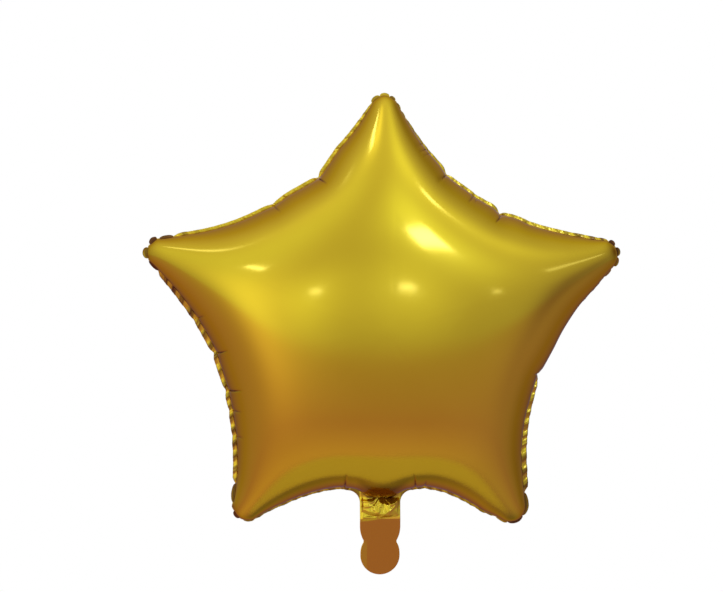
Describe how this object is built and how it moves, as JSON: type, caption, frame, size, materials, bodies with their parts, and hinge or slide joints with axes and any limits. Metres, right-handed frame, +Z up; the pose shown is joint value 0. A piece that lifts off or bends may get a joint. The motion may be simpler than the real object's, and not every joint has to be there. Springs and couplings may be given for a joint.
{
  "type": "star foil balloon",
  "caption": "Inflated five-pointed star balloon of gold foil, with a ruffled heat-sealed edge and a filling neck to tie it by.",
  "frame": {"origin": "middle of the filling neck, where a ribbon is tied", "axes": "+Z up through the star's top point, -Y out of the front face, +X to the right as seen from the front; the seal lies in the XZ plane"},
  "size_m": [0.4501, 0.1766, 0.4591],
  "materials": {
    "gold_foil": "satin metallised gold film"
  },
  "bodies": {
    "root": {"foil_envelope": "gold_foil"}
  },
  "joints": []
}
